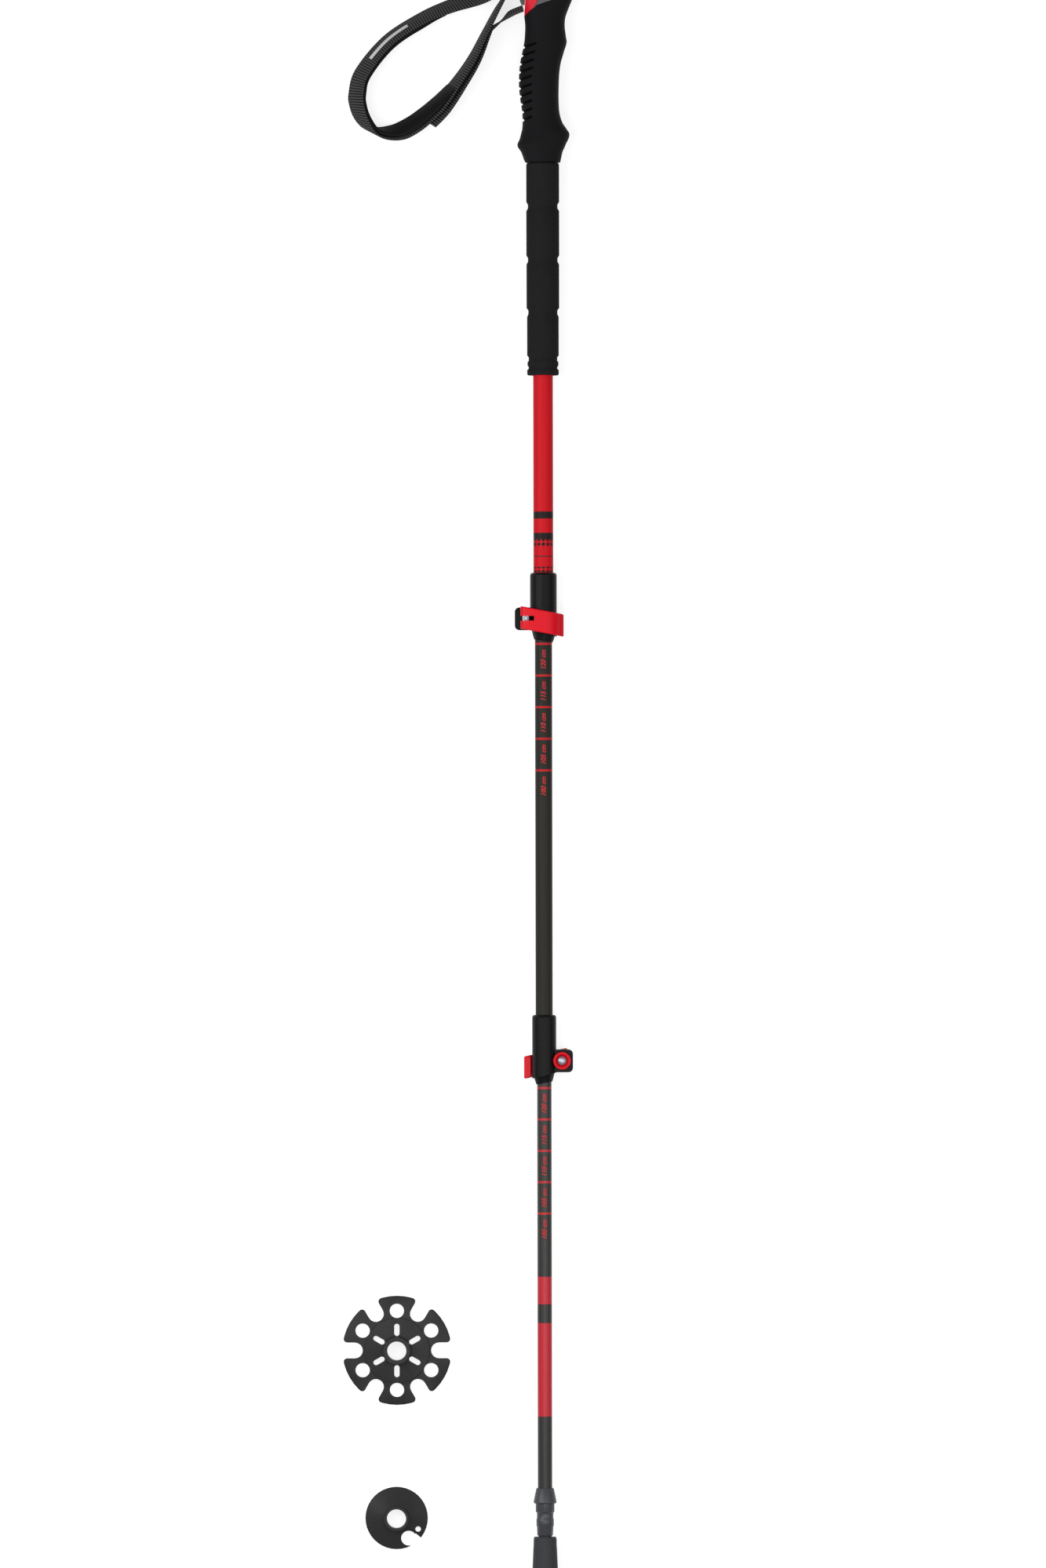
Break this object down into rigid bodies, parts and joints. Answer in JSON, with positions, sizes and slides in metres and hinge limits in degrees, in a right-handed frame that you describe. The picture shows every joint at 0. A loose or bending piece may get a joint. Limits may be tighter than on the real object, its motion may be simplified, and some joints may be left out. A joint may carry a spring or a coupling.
{
  "type": "telescopic pole",
  "caption": "Telescopic ski-touring and trekking pole with cam-lever locks, foam grip, wrist strap, boot over a hard tip, and loose snow and trekking baskets.",
  "frame": {"origin": "centre of the flat sole of the tip boot, on the axis of the pole", "axes": "+Y up the pole from the tip to the grip, +X to the front of the grip, +Z away from the surface that the pole lies on"},
  "size_m": [0.1861, 1.303, 0.0308],
  "materials": {
    "black_plastic": "fine satin",
    "grey_plastic": "satin",
    "red_anodised": "gloss red anodised",
    "red_plastic": "semi-gloss",
    "steel": "turned",
    "grip_rubber": "matt",
    "grip_foam": "matt foam",
    "black_webbing": "ribbed weave",
    "strap_lining": "smooth padded",
    "red_paint": "satin red",
    "grey_anodised": "dark olive grey, printed rings",
    "dark_anodised": "dark grey, red bands",
    "boot_rubber": "matt"
  },
  "bodies": {
    "upper_section": {"grip_body": "grip_rubber", "grip_cap": "grey_plastic", "strap_pin": "steel", "foam_grip": "grip_foam", "upper_tube": "red_paint", "upper_lock_collar": "black_plastic", "upper_lock_barrel": "steel", "upper_lock_saddle": "black_plastic"},
    "strap": {"wrist_strap": "black_webbing", "strap_lining": "strap_lining", "strap_tail": "black_webbing"},
    "wedge": {"strap_wedge": "red_plastic"},
    "upper_lever": {"upper_lock_lever": "red_anodised"},
    "upper_screw": {"upper_lock_bolt": "steel", "upper_lock_wheel": "red_anodised"},
    "mid_section": {"mid_tube": "grey_anodised", "mid_bush": "black_plastic", "lower_lock_collar": "black_plastic", "lower_lock_barrel": "steel", "lower_lock_saddle": "black_plastic"},
    "lower_lever": {"lower_lock_lever": "red_anodised"},
    "lower_screw": {"lower_lock_bolt": "steel", "lower_lock_wheel": "red_anodised"},
    "lower_section": {"lower_tube": "dark_anodised", "lower_bush": "black_plastic", "tip_ferrule": "black_plastic", "tip_insert": "steel"},
    "boot": {"tip_boot": "boot_rubber"},
    "snow_basket": {"snow_basket": "black_plastic"},
    "trekking_basket": {"trekking_basket": "black_plastic"}
  },
  "joints": [
    {"name": "strap_swing", "type": "hinge", "parent": "upper_section", "child": "strap", "pos_m": [-0.003, 1.281, 0], "axis": [0, 0, -1], "range_deg": [0, 14]},
    {"name": "wedge_slide", "type": "slide", "parent": "upper_section", "child": "wedge", "axis": [0, 1, 0], "range_m": [0, 0.003]},
    {"name": "upper_lever_hinge", "type": "hinge", "parent": "upper_section", "child": "upper_lever", "pos_m": [-0.01405, 0.7768, 0.0104], "axis": [0, -1, 0], "range_deg": [0, 165]},
    {"name": "upper_screw_turn", "type": "hinge", "parent": "upper_section", "child": "upper_screw", "pos_m": [-0.01405, 0.7768, 0], "axis": [0, 0, -1], "continuous": true},
    {"name": "mid_slide", "type": "slide", "parent": "upper_section", "child": "mid_section", "axis": [0, 1, 0], "range_m": [-0.05, 0.29]},
    {"name": "lower_lever_hinge", "type": "hinge", "parent": "mid_section", "child": "lower_lever", "pos_m": [0.01405, 0.4274, -0.0104], "axis": [0, -1, 0], "range_deg": [0, 165]},
    {"name": "lower_screw_turn", "type": "hinge", "parent": "mid_section", "child": "lower_screw", "pos_m": [0.01405, 0.4274, 0], "axis": [0, 0, 1], "continuous": true},
    {"name": "lower_slide", "type": "slide", "parent": "mid_section", "child": "lower_section", "axis": [0, 1, 0], "range_m": [-0.05, 0.315]},
    {"name": "boot_pull", "type": "slide", "parent": "lower_section", "child": "boot", "axis": [0, -1, 0], "range_m": [0, 0.05]},
    {"name": "snow_basket_lift", "type": "slide", "parent": "upper_section", "child": "snow_basket", "axis": [0, 0, 1], "range_m": [0, 0.15]},
    {"name": "trekking_basket_lift", "type": "slide", "parent": "upper_section", "child": "trekking_basket", "axis": [0, 0, 1], "range_m": [0, 0.15]}
  ]
}
